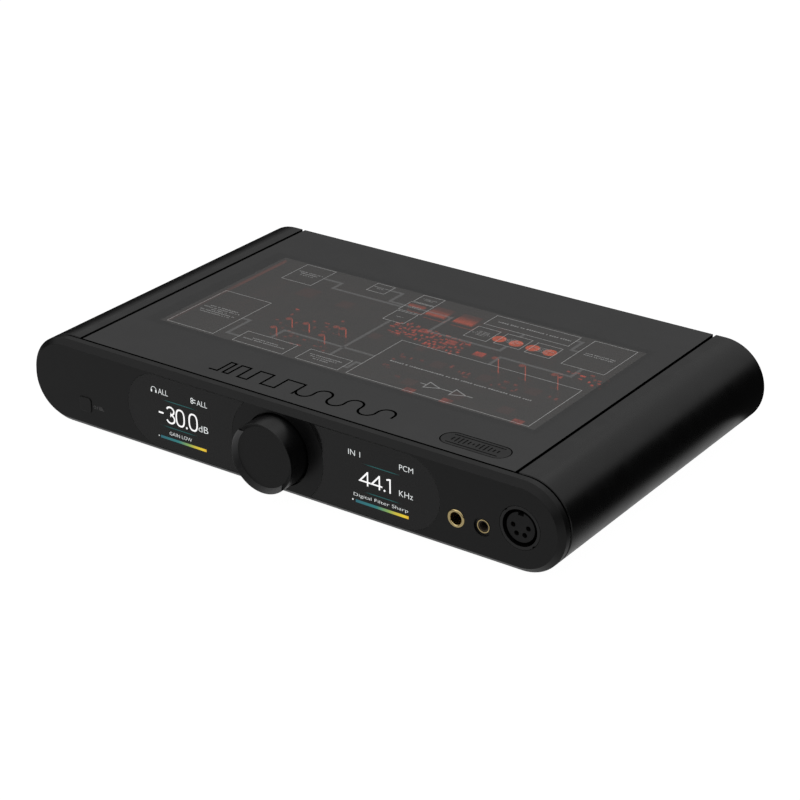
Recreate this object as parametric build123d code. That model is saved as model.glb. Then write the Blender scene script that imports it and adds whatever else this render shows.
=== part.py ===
from build123d import *
import math
import os
import random

# Desktop DAC and headphone amplifier, in millimetres.
# Every piece is drawn in case coordinates: X to the right as seen from the front, Y backwards from the front
# face, Z up from the underside of the case. save() then moves it so that the origin is the centre of the
# whole object's footprint, on the surface that the feet stand on.

# Driving dimensions of the case
case_width = 340.0
case_height = 48.7
case_depth = 203.0
foot_height = 2.5
knob_proud = 13.0
rear_proud = 9.0
mid_z = case_height / 2
end_radius = case_height / 2
end_centre_x = case_width / 2 - end_radius

# Front panel and the shadow gap behind it
front_thickness = 6.6
front_chamfer = 3.05
shadow_gap = 1.5
extrusion_chamfer = 0.4
body_front = front_thickness + shadow_gap
flat_half_height = mid_z - front_chamfer

# Hidden plates at the two ends of the case
wall = 3.0
plate_inset = wall + 0.3
subframe_thickness = 2.0
subframe_back = front_thickness + subframe_thickness
ledge_front = subframe_back + 0.1
rear_recess = 1.5
rear_thickness = 2.5
rear_face = case_depth - rear_recess
rear_inner = rear_face - rear_thickness
ledge_back = rear_inner - 0.1

# Top and bottom plates between the side extrusions
groove_x = 138.86
groove_width = 1.9
panel_edge = groove_x - groove_width / 2
extrusion_edge = groove_x + groove_width / 2
top_thickness = 2.9
top_sink = 0.1
frame_thickness = 2.0
base_thickness = 2.5
frame_top = case_height - top_sink - top_thickness
frame_bottom = frame_top - frame_thickness
frame_edge = 141.2
web_x = 141.5
ledge_inner_x = 130.0
channel_angle = 50.0
channel_distance = end_radius - wall - 3.0
channel_x = end_centre_x + channel_distance * math.cos(math.radians(channel_angle))
channel_dz = channel_distance * math.sin(math.radians(channel_angle))
window_half_width = 128.5
window_front = 42.0
window_back = 172.0
base_screw_x = 134.2
base_screw_y = (20.0, 75.0, 132.0, 188.0)
foot_x = 116.0
foot_y = (26.0, 180.0)
foot_radius = 9.0

# Ornament and badge let into the top panel
wave_y = 23.0
wave_radius = 4.9
wave_half_height = 6.0
wave_start_x = -57.0
engraving_width = 1.3
engraving_depth = 0.5
badge_x = 107.0
badge_y = 20.7
badge_length = 39.8
badge_width = 13.4
badge_depth = 1.2

# Screws: M3 cap screws hold the end plates, M3 countersunk screws hold the base plate and the feet
cap_head_radius = 2.6
cap_head_height = 1.6
screw_radius = 1.2
screw_hole_radius = 1.55
thread_hole_radius = 1.25
cap_screw_length = 5.0
cone_height = 1.5
cone_radius = 2.7
countersunk_length = 6.1
foot_screw_sink = 1.0
end_screw_places = [(side * channel_x, mid_z + dz) for side in (-1, 1) for dz in (-channel_dz, channel_dz)]
panel_screw_places = [
    (side * x, mid_z + dz) for side in (-1, 1) for x, dz in ((30.0, 15.5), (30.0, -15.5), (98.0, 16.0))
]

# Front controls
knob_radius = 19.2
knob_well_radius = 20.1
knob_well_depth = 4.6
knob_back = 3.0
knob_rim_radius = 18.65
knob_face_radius = 16.65
knob_face_depth = 2.2
shaft_radius = 3.0
inlay_depth = 0.3
lens_end_x = 100.3
lens_half_height = flat_half_height - 0.4
lens_inner_radius = 29.3
lens_thickness = 1.5
lens_fit = 0.1
display_x = 64.8
display_width = 46.0
display_height = 35.0
display_view_width = 42.0
display_view_height = 31.5
display_front = 3.0
button_x = -131.5
button_z = 14.5
button_size = 8.3
button_proud = 0.5

# Headphone sockets
jack_z = 18.4
jack_large_x = 109.6
jack_large_radius = 4.9
jack_large_bore = 3.25
jack_small_x = 124.9
jack_small_radius = 3.55
jack_small_bore = 2.25
jack_small_recess = 1.0
jack_small_nose = 3.0
phones_xlr_x = 146.0
xlr_ring_radius = 11.3
xlr_cavity_radius = 9.75
xlr_insert_radius = 7.9
xlr_contact_circle = 4.3
xlr_contact_angles = (174, 238, 302, 366)

# Boards
board_thickness = 1.6
front_board_y = 15.4
main_board_z = 8.0
upper_board_z = 35.4
board_top = main_board_z + board_thickness
upper_top = upper_board_z + board_thickness
supply_corners = [(x, y) for x in (-115.0, -42.0) for y in (62.0, 166.0)]
main_corners = [(x, y) for x in (-22.0, 115.0) for y in (50.0, 170.0)]
pillar_places = [(-124.5, 50.0), (-33.0, 50.0), (125.0, 50.0), (-97.5, 190.0), (-41.0, 190.0), (118.5, 190.0)]
front_board_places = [(-136.0, 36.0), (-120.0, 10.5), (-46.0, 37.0), (90.0, 36.0), (90.0, 10.5)]

# What stands on the upper board, under the window
can_top = 45.4
short_can_top = 42.0
filter_capacitor_places = [(42.9 + 10.65 * k, 139.5) for k in range(4)]
slim_capacitor_places = [(54.7, 117.4), (71.6, 117.4), (91.6, 117.4)]
short_capacitor_places = [(-72.7, 103.7), (-60.8, 103.7), (-44.2, 109.3), (-39.8, 109.3), (-44.2, 95.8), (-72.7, 89.8)]
relay_places = [(-11.0, 161.8), (7.6, 161.8)]
crystal_place = (-26.2, 161.2)
heat_sink_places = [(26.0 + 30.0 * k, 90.0) for k in range(3)]
module_chip_places = [(26.0 + 30.0 * k, y) for y in (106.0, 79.5) for k in range(3)]
chip_places = [(-64.0, 144.0, 9.0), (-92.0, 146.0, 12.0), (-24.0, 118.0, 7.0), (6.0, 118.0, 6.0), (30.0, 163.0, 7.0)]
tab_places = [(31.0, 72.2), (54.3, 72.2), (97.9, 72.2), (-6.0, 139.5), (15.0, 135.0), (36.0, 130.5)]

# Clusters of small parts on the upper board: centre, half spans and count
clusters = [
    (-11.0, 136.0, 14.0, 8.0, 42),
    (14.0, 132.0, 12.0, 9.0, 34),
    (-68.0, 112.0, 20.0, 14.0, 16),
    (-50.0, 88.0, 16.0, 8.0, 10),
    (100.0, 135.0, 15.0, 6.0, 18),
    (60.0, 102.0, 40.0, 8.0, 20),
    (8.0, 96.0, 8.0, 14.0, 12),
]

# Rear connectors, X of each centre
inlet_x = -116.0
switch_x = -83.0
usb_x = -52.0
optical_x = -30.0
coax_x = -10.0
antenna_x = 10.0
trigger_x = 25.0
xlr_out_x = (54.0, 84.0)
rca_out_x = (109.0, 128.0)
rear_mid_z = 19.0
usb_z = 15.6
optical_z = 15.6
xlr_flange_radius = 12.4
rca_length = rear_recess + rear_proud
rocker_tilt = 9.0
rocker_axis_y = rear_face - 1.0
trunnion_radius = 0.8
inlet_pin_places = [(inlet_x - 7.0, rear_mid_z - 2.0), (inlet_x, rear_mid_z + 2.0), (inlet_x + 7.0, rear_mid_z - 2.0)]

total_depth = knob_proud + case_depth + rear_proud
origin_shift = Pos(0, knob_proud - total_depth / 2, foot_height)

PARTS = {}


def add(name, shape):
    """Keep one named piece, moved from case coordinates to the object's own frame."""
    PARTS[name] = origin_shift * shape


def box(x0, x1, y0, y1, z0, z1):
    """A block given by its six sides."""
    return Pos((x0 + x1) / 2, (y0 + y1) / 2, (z0 + z1) / 2) * Box(x1 - x0, y1 - y0, z1 - z0)


def from_front(sketch, y0, y1):
    """Extrude a sketch drawn in X and Z between two distances from the front face."""
    plane = Plane(origin=(0, y1, 0), x_dir=(1, 0, 0), z_dir=(0, -1, 0))
    return extrude(plane * sketch, amount=y1 - y0)


def from_below(sketch, z0, z1):
    """Extrude a sketch drawn in X and Y between two heights."""
    return extrude(Pos(0, 0, z0) * sketch, amount=z1 - z0)


def rod_y(x, z, radius, y0, y1):
    return from_front(Pos(x, z) * Circle(radius), y0, y1)


def rod_z(x, y, radius, z0, z1):
    return from_below(Pos(x, y) * Circle(radius), z0, z1)


def block_y(x, z, width, height, y0, y1, radius=0.0):
    """A rectangular block along Y, with rounded long edges where a radius is given."""
    outline = RectangleRounded(width, height, radius) if radius else Rectangle(width, height)
    return from_front(Pos(x, z) * outline, y0, y1)


def case_outline(inset):
    """The case's stadium outline in X and Z, drawn in by an inset."""
    return Pos(0, mid_z) * SlotOverall(case_width - 2 * inset, case_height - 2 * inset)


def join(shapes):
    """One compound of separate solids, for a node that holds a group."""
    return Compound(children=list(shapes))


def hex_y(x, z, across_flats, y0, y1):
    return from_front(Pos(x, z) * RegularPolygon(across_flats / 2, 6, major_radius=False), y0, y1)


def cap_screw(x, z, y_seat, direction):
    """A cap screw along Y: its head sits on y_seat and its shank runs in the given direction."""
    y_top = y_seat - direction * cap_head_height
    y_end = y_seat + direction * cap_screw_length
    screw = rod_y(x, z, cap_head_radius, min(y_seat, y_top), max(y_seat, y_top))
    screw += rod_y(x, z, screw_radius, min(y_seat, y_end), max(y_seat, y_end))
    y_socket = y_top + direction * 0.9
    return screw - hex_y(x, z, 2.0, min(y_top, y_socket), max(y_top, y_socket))


def countersunk_screw(x, y, z_face):
    """A countersunk screw pointing up, with its head flush with z_face and a cross recess."""
    head = Pos(0, 0, cone_height / 2) * Cone(cone_radius, screw_radius, cone_height)
    shank = rod_z(0, 0, screw_radius, cone_height, countersunk_length)
    cross = Pos(0, 0, 0.35) * (Box(2.6, 0.55, 0.7) + Box(0.55, 2.6, 0.7))
    return Pos(x, y, z_face) * (head + shank - cross)


def countersink(x, y, z_face):
    """The cutter for a countersunk screw's head and clearance hole."""
    cone = Pos(x, y, z_face + cone_height / 2) * Cone(cone_radius + 0.15, screw_radius + 0.15, cone_height)
    return cone + rod_z(x, y, screw_radius + 0.15, z_face, z_face + 4.0)


# ---------------------------------------------------------------- case


def lens_outline(side, clearance):
    """A pill end on the outside and a concave arc, concentric with the knob, on the inside."""
    pill = SlotOverall(2 * (lens_end_x - clearance), 2 * (lens_half_height - clearance))
    half = Pos(side * case_width / 4, 0) * Rectangle(case_width / 2, case_height)
    return Pos(0, mid_z) * ((pill & half) - Circle(lens_inner_radius + clearance))


def make_front_panel():
    panel = from_front(case_outline(0), 0, front_thickness)
    front_face = panel.faces().sort_by(Axis.Y)[0]
    panel = chamfer(front_face.edges(), front_chamfer)
    for side in (-1, 1):
        panel -= from_front(lens_outline(side, 0), 0, lens_thickness + lens_fit)
        panel -= block_y(side * display_x, mid_z, display_view_width, display_view_height, 0, front_thickness)
        pocket = (display_width + 0.4, display_height + 0.4)
        panel -= block_y(side * display_x, mid_z, *pocket, display_front, front_thickness)
    panel -= rod_y(0, mid_z, knob_well_radius, 0, knob_well_depth)
    panel -= rod_y(0, mid_z, 8.5, 0, front_thickness)
    panel -= block_y(button_x, button_z, button_size + 0.3, button_size + 0.3, 0, front_thickness, 1.9)
    panel -= block_y(button_x, button_z, 10.8, 10.8, 2.3, front_thickness)
    panel -= rod_y(jack_large_x, jack_z, jack_large_radius + 0.1, 0, front_thickness)
    panel -= rod_y(jack_small_x, jack_z, 5.0, 0, jack_small_recess)
    panel -= rod_y(jack_small_x, jack_z, jack_small_radius + 0.1, 0, front_thickness)
    panel -= rod_y(phones_xlr_x, mid_z, xlr_ring_radius + 0.25, 0, front_thickness)
    for x, z in panel_screw_places:
        panel -= rod_y(x, z, thread_hole_radius, front_thickness - 4.5, front_thickness)
    for x, z in end_screw_places:
        panel -= rod_y(x, z, cap_head_radius + 0.3, front_thickness - 1.8, front_thickness)
    return panel


def make_subframe():
    plate = from_front(case_outline(plate_inset), front_thickness, subframe_back)
    for side in (-1, 1):
        plate -= block_y(side * display_x, mid_z, 16.0, 5.0, front_thickness, subframe_back)
    plate -= rod_y(0, mid_z, 3.7, front_thickness, subframe_back)
    plate -= rod_y(button_x, button_z, 2.2, front_thickness, subframe_back)
    plate -= rod_y(jack_large_x, jack_z, 5.2, front_thickness, subframe_back)
    plate -= rod_y(jack_small_x, jack_z, 4.2, front_thickness, subframe_back)
    plate -= rod_y(phones_xlr_x, mid_z, xlr_ring_radius + 0.25, front_thickness, subframe_back)
    for x, z in panel_screw_places + end_screw_places:
        plate -= rod_y(x, z, screw_hole_radius, front_thickness, subframe_back)
    return plate


def make_extrusion():
    """The right-hand extrusion: a round outer wall, two ledges on webs and two screw channels."""
    keep = Pos(extrusion_edge + 50, mid_z) * Rectangle(100, case_height)
    shell = (case_outline(0) & keep) - case_outline(wall)
    profile = shell
    for z_low, z_high, web_low, web_high in (
        (frame_bottom - 2.4, frame_bottom, frame_bottom - 2.4, case_height - wall + 0.2),
        (base_thickness, base_thickness + 2.4, wall - 0.2, base_thickness + 2.4),
    ):
        width = web_x + 2.5 - ledge_inner_x
        ledge_centre = (ledge_inner_x + width / 2, (z_low + z_high) / 2)
        profile += Pos(*ledge_centre) * Rectangle(width, z_high - z_low)
        profile += Pos(web_x + 1.25, (web_low + web_high) / 2) * Rectangle(2.5, web_high - web_low)
    for dz in (-channel_dz, channel_dz):
        profile += Pos(channel_x, mid_z + dz) * Circle(3.6)
    profile = profile & case_outline(0)
    for dz in (-channel_dz, channel_dz):
        profile -= Pos(channel_x, mid_z + dz) * Circle(thread_hole_radius)
    body = from_front(profile, body_front, case_depth)
    body -= from_front(case_outline(wall), body_front, ledge_front)
    body -= from_front(case_outline(wall), ledge_back, case_depth)
    for y in base_screw_y:
        body -= rod_z(base_screw_x, y, thread_hole_radius, base_thickness, base_thickness + 2.4)
    ends = body.edges().filter_by_position(Axis.Y, body_front - 0.01, body_front + 0.01)
    rim = ends.filter_by(GeomType.CIRCLE).sort_by(SortBy.RADIUS)[-1]
    return chamfer(rim, extrusion_chamfer)


def wave_outline():
    """A line that starts as square pulses and ends as round ones, as one flat outline."""
    pieces = []

    def stroke(x0, y0, x1, y1):
        width, height = abs(x1 - x0) + engraving_width, abs(y1 - y0) + engraving_width
        pieces.append(Pos((x0 + x1) / 2, (y0 + y1) / 2) * Rectangle(width, height))

    x, level = wave_start_x, -wave_half_height
    for run in (5.0, 3.6, 3.6, 6.2, 6.2, 9.0, 9.0, 11.6):
        stroke(x, level, x + run, level)
        x += run
        stroke(x, level, x, -level)
        level = -level
    bend = wave_half_height - wave_radius
    stroke(x, level, x, 0)
    for _ in range(6):
        side = 1 if level > 0 else -1
        ring = Circle(wave_radius + engraving_width / 2) - Circle(wave_radius - engraving_width / 2)
        half = Pos(0, side * case_height / 2) * Rectangle(case_height, case_height)
        x += 2 * wave_radius
        pieces.append(Pos(x - wave_radius, side * bend) * (ring & half))
        stroke(x, side * bend, x, -side * bend)
        level = -level
    outline = pieces[0]
    for piece in pieces[1:]:
        outline += piece
    return outline


def make_top_panel():
    y_mid = (body_front + case_depth) / 2
    outline = Pos(0, y_mid) * Rectangle(2 * panel_edge, case_depth - body_front)
    top = case_height - top_sink
    panel = from_below(outline, frame_top, top)
    panel -= from_below(Pos(0, wave_y) * wave_outline(), top - engraving_depth, top)
    pocket = Pos(badge_x, badge_y) * SlotOverall(badge_length + 0.2, badge_width + 0.2)
    return panel - from_below(pocket, top - badge_depth, top)


def make_badge():
    top = case_height - top_sink
    plate = from_below(SlotOverall(badge_length, badge_width), top - badge_depth, top)
    plate = chamfer(plate.faces().sort_by(Axis.Z)[-1].edges(), 0.55)
    for dy in (-4.3, 4.3):
        plate -= from_below(Pos(0, dy) * SlotOverall(30.0, 0.7), top - 0.25, top)
    for k in range(12):
        length = 1.6 + 4.0 * abs(math.sin(0.55 * k + 0.5))
        bar = Pos(2.4 * (k - 5.5), 0) * SlotOverall(length, 0.9, 90)
        plate -= from_below(bar, top - 0.25, top)
    return Pos(badge_x, badge_y, 0) * plate


def make_top_frame():
    y_mid = (ledge_front + ledge_back) / 2
    outline = Pos(0, y_mid) * Rectangle(2 * frame_edge, ledge_back - ledge_front)
    opening_y = (window_front + window_back) / 2
    opening = Pos(0, opening_y) * RectangleRounded(2 * window_half_width, window_back - window_front, 4)
    return from_below(outline - opening, frame_bottom, frame_top)


def make_base_plate():
    y_mid = (body_front + case_depth) / 2
    plate = from_below(Pos(0, y_mid) * Rectangle(2 * panel_edge, case_depth - body_front), 0, base_thickness)
    for side in (-1, 1):
        for y in base_screw_y:
            plate -= countersink(side * base_screw_x, y, 0)
        for y in foot_y:
            plate -= rod_z(side * foot_x, y, thread_hole_radius, 0, base_thickness)
    for x, y in supply_corners + main_corners + pillar_places:
        plate -= rod_z(x, y, screw_hole_radius, 0, base_thickness)
    return plate


def make_foot(x, y):
    foot = rod_z(x, y, foot_radius, -foot_height, 0)
    foot = chamfer(foot.faces().sort_by(Axis.Z)[0].edges(), 0.8)
    foot -= rod_z(x, y, cone_radius + 0.4, -foot_height, -foot_height + foot_screw_sink)
    return foot - countersink(x, y, -foot_height + foot_screw_sink)


def make_rear_panel():
    panel = from_front(case_outline(plate_inset), rear_inner, rear_face)
    through = (rear_inner, rear_face)
    panel -= block_y(inlet_x, rear_mid_z, 27.4, 20.4, *through, 2.0)
    panel -= block_y(switch_x, rear_mid_z, 19.6, 13.2, *through, 0.5)
    panel -= block_y(usb_x, usb_z, 12.4, 11.4, *through, 0.5)
    panel -= block_y(optical_x, optical_z, 12.6, 10.4, *through, 0.5)
    for x in (coax_x, *rca_out_x):
        panel -= rod_y(x, rear_mid_z, 4.8, *through)
    panel -= rod_y(antenna_x, rear_mid_z, 3.3, *through)
    panel -= rod_y(trigger_x, rear_mid_z, 3.1, *through)
    for x in xlr_out_x:
        panel -= rod_y(x, rear_mid_z, 11.6, *through)
    for x, z in end_screw_places:
        panel -= rod_y(x, z, screw_hole_radius, *through)
    return panel


# ---------------------------------------------------------------- front controls


def make_knob():
    """A cup with a dished face, a hollow back and a hub; the rim's cone has a step for the inlay."""
    front = -knob_proud
    face = front + knob_face_depth
    knob = rod_y(0, mid_z, knob_radius, front, knob_back)
    knob = fillet(knob.faces().sort_by(Axis.Y)[0].edges(), 0.2)
    dish = ring_profile([(0, front), (knob_rim_radius, front), (knob_face_radius, face), (0, face)])
    knob -= turn_about_knob(dish, 0, 360)
    step = [(knob_rim_radius + inlay_depth, front), (knob_rim_radius - 0.05, front), (knob_face_radius, face)]
    step.append((knob_face_radius + inlay_depth, face))
    knob -= turn_about_knob(ring_profile(step), 135, 180)
    for angle in (135, 315):
        notch = Pos(0, front + 0.6, 0) * Pos(17.9, 0, 0) * Box(3.2, 1.6, 1.1)
        knob -= Pos(0, 0, mid_z) * Rot(0, -angle, 0) * notch
    back = rod_y(0, mid_z, knob_radius - 2.2, -6.5, knob_back) - rod_y(0, mid_z, 6.0, -6.5, knob_back - 1.5)
    knob -= back
    knob -= rod_y(0, mid_z, shaft_radius, -5.5, knob_back)
    return knob - grub_hole()


def ring_profile(points):
    """A closed outline in radius and Y, drawn beside the knob's axis."""
    return make_face(Polyline(*[(r, y, 0) for r, y in points], close=True))


def turn_about_knob(face, start, sweep):
    """Turn an outline about the knob's axis from a start angle, anticlockwise as seen from the front."""
    solid = revolve(face, Axis.Y, sweep)
    return Pos(0, 0, mid_z) * Rot(0, -start - (sweep if sweep < 360 else 0), 0) * solid


def grub_hole():
    return Pos(0, 0.0, mid_z) * Rot(0, 90, 0) * Pos(0, 0, 4.4) * Cylinder(1.25, 3.4)


def make_knob_inlay():
    front = -knob_proud + 0.05
    face = -knob_proud + knob_face_depth
    slope = (knob_rim_radius - knob_face_radius) / knob_face_depth
    r_front = knob_rim_radius - slope * 0.05
    outline = [(r_front, front), (r_front + inlay_depth, front), (knob_face_radius + inlay_depth, face)]
    outline.append((knob_face_radius, face))
    return turn_about_knob(ring_profile(outline), 138, 174)


def make_encoder_body():
    body = block_y(0, mid_z, 12.4, 13.2, ledge_front, front_board_y, 0.8)
    body += rod_y(0, mid_z, 3.5, 2.4, ledge_front)
    body -= rod_y(0, mid_z, shaft_radius + 0.05, 2.4, 10.6)
    body -= rod_y(0, mid_z, 4.6, 10.2, 14.6)
    return body


def make_encoder_shaft():
    shaft = rod_y(0, mid_z, shaft_radius, -5.4, 10.4)
    return shaft + rod_y(0, mid_z, 4.2, 10.4, 11.4)


def make_encoder_plunger():
    return rod_y(0, mid_z, 4.2, 11.45, 12.6) + rod_y(0, mid_z, 1.2, 12.6, 13.6)


def make_encoder_nut():
    nut = hex_y(0, mid_z, 10.0, front_thickness - 1.9, front_thickness - 0.1)
    return nut - rod_y(0, mid_z, 3.52, 0, front_thickness)


def make_button():
    cap = block_y(button_x, button_z, button_size, button_size, -button_proud, 2.35, 1.8)
    cap = fillet(cap.faces().sort_by(Axis.Y)[0].edges(), 0.3)
    cap += block_y(button_x, button_z, 10.2, 10.2, 2.35, 3.3)
    return cap + rod_y(button_x, button_z, 1.6, 3.3, 11.4)


def make_button_switch():
    body = block_y(button_x, button_z, 6.2, 6.2, 12.4, front_board_y, 0.4)
    return body + rod_y(button_x, button_z, 1.7, 11.9, 12.4)


def make_display(side):
    body = block_y(side * display_x, mid_z, display_width, display_height, display_front, front_thickness, 0.6)
    return body - block_y(side * display_x, mid_z, 41.4, 31.1, display_front, display_front + 0.3)


def make_front_board():
    board = from_front(Pos(-22.5, 23.4) * Rectangle(238.0, 33.6), front_board_y, front_board_y + board_thickness)
    for x, z in front_board_places:
        board -= rod_y(x, z, 1.6, front_board_y, front_board_y + board_thickness)
    return board


def make_front_board_posts():
    posts = []
    for x, z in front_board_places:
        post = hex_y(x, z, 5.5, subframe_back, front_board_y)
        posts.append(post - rod_y(x, z, thread_hole_radius, subframe_back, front_board_y))
    return posts


# ---------------------------------------------------------------- headphone sockets


def make_large_jack_bush():
    """A ring with a full round lip."""
    bush = rod_y(jack_large_x, jack_z, jack_large_radius, -0.5, front_thickness)
    bush -= rod_y(jack_large_x, jack_z, jack_large_bore, -0.5, front_thickness)
    return fillet(bush.faces().sort_by(Axis.Y)[0].edges(), 0.7)


def make_small_jack_bush():
    """A thin ring round the socket's nose."""
    y_front = jack_small_recess - 0.3
    bush = rod_y(jack_small_x, jack_z, jack_small_radius, y_front, front_thickness)
    return bush - rod_y(jack_small_x, jack_z, jack_small_nose + 0.05, y_front, front_thickness)


def make_jack_body(x, nose, nose_front, bore, half, y_back):
    """A socket's moulded body behind the panel, with a round nose that reaches forward."""
    body = box(x - half, x + half, subframe_back + 0.1, y_back, jack_z - half, jack_z + half)
    body += rod_y(x, jack_z, nose, nose_front, subframe_back + 0.1)
    return body - rod_y(x, jack_z, bore, nose_front, y_back - 3.0)


def make_phones_xlr_shell():
    shell = rod_y(phones_xlr_x, mid_z, xlr_ring_radius, 0, 24.0)
    shell -= rod_y(phones_xlr_x, mid_z, xlr_cavity_radius, 0, 20.0)
    for angle in (135, -45):
        notch = Rot(0, -angle, 0) * Pos(xlr_ring_radius, 0.5, 0) * Box(1.0, 1.6, 1.6)
        shell -= Pos(phones_xlr_x, 0, mid_z) * notch
    return shell


def phones_contact_places():
    """The four contacts' centres, evenly set round the lower part of the insert."""
    turns = [math.radians(a) for a in xlr_contact_angles]
    return [
        (phones_xlr_x + xlr_contact_circle * math.cos(t), mid_z + xlr_contact_circle * math.sin(t)) for t in turns
    ]


def make_phones_xlr_insert():
    insert = rod_y(phones_xlr_x, mid_z, xlr_insert_radius, 0.8, 20.0)
    insert -= box(phones_xlr_x - 1.6, phones_xlr_x + 1.6, 0.8, 12.0, mid_z + 6.2, mid_z + 9.0)
    for x, z in phones_contact_places():
        insert -= rod_y(x, z, 1.35, 0.8, 16.0)
    return insert


def make_phones_xlr_contacts():
    places = phones_contact_places()
    return join([rod_y(x, z, 1.3, 4.5, 15.9) - rod_y(x, z, 0.85, 4.5, 14.0) for x, z in places])


# ---------------------------------------------------------------- rear connectors


def make_mains_inlet():
    body = block_y(inlet_x, rear_mid_z, 27.0, 20.0, rear_face - 20.0, rear_face, 1.8)
    body += block_y(inlet_x, rear_mid_z, 31.0, 24.4, rear_face, rear_face + 2.6, 2.4)
    corner = Pos(inlet_x, rear_mid_z) * RectangleRounded(24.2, 16.8, 2.2)
    trim = Pos(inlet_x, rear_mid_z + 8.4) * Rectangle(40, 4) - Pos(inlet_x, rear_mid_z + 8.4) * Rectangle(12.0, 8)
    cavity = corner - trim
    body -= from_front(cavity, rear_face - 15.0, rear_face + 2.6)
    for x, z in inlet_pin_places:
        body -= block_y(x, z, 2.0, 4.0, rear_face - 20.0, rear_face - 15.0)
    return body


def make_inlet_pins():
    return join([block_y(x, z, 2.0, 4.0, rear_face - 26.0, rear_face - 2.0) for x, z in inlet_pin_places])


def make_switch_frame():
    frame = block_y(switch_x, rear_mid_z, 19.2, 12.8, rear_face - 14.0, rear_face, 0.4)
    frame += block_y(switch_x, rear_mid_z, 21.6, 15.2, rear_face, rear_face + 1.6, 1.0)
    frame -= block_y(switch_x, rear_mid_z, 17.0, 10.6, rear_face - 9.0, rear_face + 1.6, 0.3)
    for side in (-1, 1):
        x = switch_x + side * 5.0
        frame += box(x - 0.4, x + 0.4, rear_face - 22.0, rear_face - 14.0, rear_mid_z - 4.4, rear_mid_z + 0.4)
    bearing = (rear_mid_z - 6.0, rear_mid_z + 6.0)
    return frame - rod_z(switch_x, rocker_axis_y, trunnion_radius + 0.05, *bearing)


def make_rocker():
    """A rocker on trunnions along Z: its two flat halves meet at a shallow angle over the pivot."""
    points = [(-8.1, 2.4), (0.0, 1.1), (8.1, 2.4), (7.6, -1.6), (3.0, -5.0), (-3.0, -5.0), (-7.6, -1.6)]
    profile = make_face(Polyline(*points, close=True))
    rocker = Pos(0, 0, -4.9) * extrude(profile, amount=9.8)
    rocker += rod_z(0, 0, trunnion_radius, -5.8, 5.8)
    return Pos(switch_x, rocker_axis_y, rear_mid_z) * Rot(0, 0, rocker_tilt) * rocker


def make_xlr_out_shell(x):
    shell = rod_y(x, rear_mid_z, 11.4, rear_face - 18.0, rear_face)
    shell += rod_y(x, rear_mid_z, xlr_flange_radius, rear_face, rear_face + 2.0)
    shell -= rod_y(x, rear_mid_z, 9.7, rear_face - 12.5, rear_face + 2.0)
    shell += box(x - 1.3, x + 1.3, rear_face - 12.5, rear_face - 1.0, rear_mid_z + 8.6, rear_mid_z + 9.9)
    for px, pz in xlr3_pins(x):
        shell -= rod_y(px, pz, 1.2, rear_face - 18.0, rear_face - 12.5)
    return shell


def xlr3_pins(x):
    return [
        (x + 4.6 * math.cos(math.radians(a)), rear_mid_z + 4.6 * math.sin(math.radians(a))) for a in (180, 270, 360)
    ]


def make_xlr_out_pins():
    pins = []
    for x in xlr_out_x:
        for px, pz in xlr3_pins(x):
            pin = rod_y(px, pz, 1.2, rear_face - 22.0, rear_face - 1.5)
            pins.append(fillet(pin.faces().sort_by(Axis.Y)[-1].edges(), 0.6))
    return join(pins)


def make_rca_shell(x):
    shell = rod_y(x, rear_mid_z, 4.15, rear_face, rear_face + rca_length)
    shell = chamfer(shell.faces().sort_by(Axis.Y)[-1].edges(), 0.5)
    shell += hex_y(x, rear_mid_z, 12.0, rear_face, rear_face + 2.2)
    shell += rod_y(x, rear_mid_z, 4.7, rear_face - 10.0, rear_face)
    return shell - rod_y(x, rear_mid_z, 3.4, rear_face - 10.0, rear_face + rca_length)


def make_rca_core(x):
    core = rod_y(x, rear_mid_z, 3.38, rear_face - 12.0, rear_face + rca_length - 0.6)
    return core - rod_y(x, rear_mid_z, 1.65, rear_face - 6.0, rear_face + rca_length - 0.6)


def make_usb_socket():
    shell = block_y(usb_x, usb_z, 12.0, 11.0, rear_face - 15.5, rear_face + 0.6, 0.4)
    shell -= from_front(Pos(usb_x, usb_z) * (RectangleRounded(8.6, 8.0, 1.2)), rear_face - 12.0, rear_face + 0.6)
    return shell + block_y(usb_x, usb_z, 5.6, 3.2, rear_face - 12.0, rear_face - 2.0)


def make_optical_socket():
    body = block_y(optical_x, optical_z, 12.2, 10.0, rear_face - 10.0, rear_face + 0.6, 0.4)
    body -= block_y(optical_x, optical_z, 8.4, 7.6, rear_face - 0.6, rear_face + 0.6, 0.8)
    body -= block_y(optical_x, optical_z, 8.4, 7.6, rear_face - 8.0, rear_face - 1.6, 0.8)
    return body


def make_antenna_socket():
    body = rod_y(antenna_x, rear_mid_z, 3.15, rear_face - 8.0, rear_face + rca_length - 2.0)
    for k in range(6):
        y = rear_face + 3.2 + 0.9 * k
        body -= rod_y(antenna_x, rear_mid_z, 4.0, y, y + 0.4) - rod_y(antenna_x, rear_mid_z, 2.8, y, y + 0.4)
    body += hex_y(antenna_x, rear_mid_z, 8.0, rear_face, rear_face + 2.2)
    body -= rod_y(antenna_x, rear_mid_z, 2.2, rear_face + 2.0, rear_face + rca_length - 2.0)
    return body + rod_y(antenna_x, rear_mid_z, 0.6, rear_face + 2.0, rear_face + 6.0)


def make_trigger_socket():
    bush = rod_y(trigger_x, rear_mid_z, 3.0, rear_face - 2.6, rear_face + 2.0)
    bush += rod_y(trigger_x, rear_mid_z, 4.0, rear_face, rear_face + 0.8)
    bush += box(trigger_x - 4.5, trigger_x + 4.5, rear_face - 14.0, rear_face - 2.6, rear_mid_z - 3.5, rear_mid_z + 3.5)
    return bush - rod_y(trigger_x, rear_mid_z, 1.8, rear_face - 12.0, rear_face + 2.0)


# ---------------------------------------------------------------- boards and what stands on them


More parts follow.
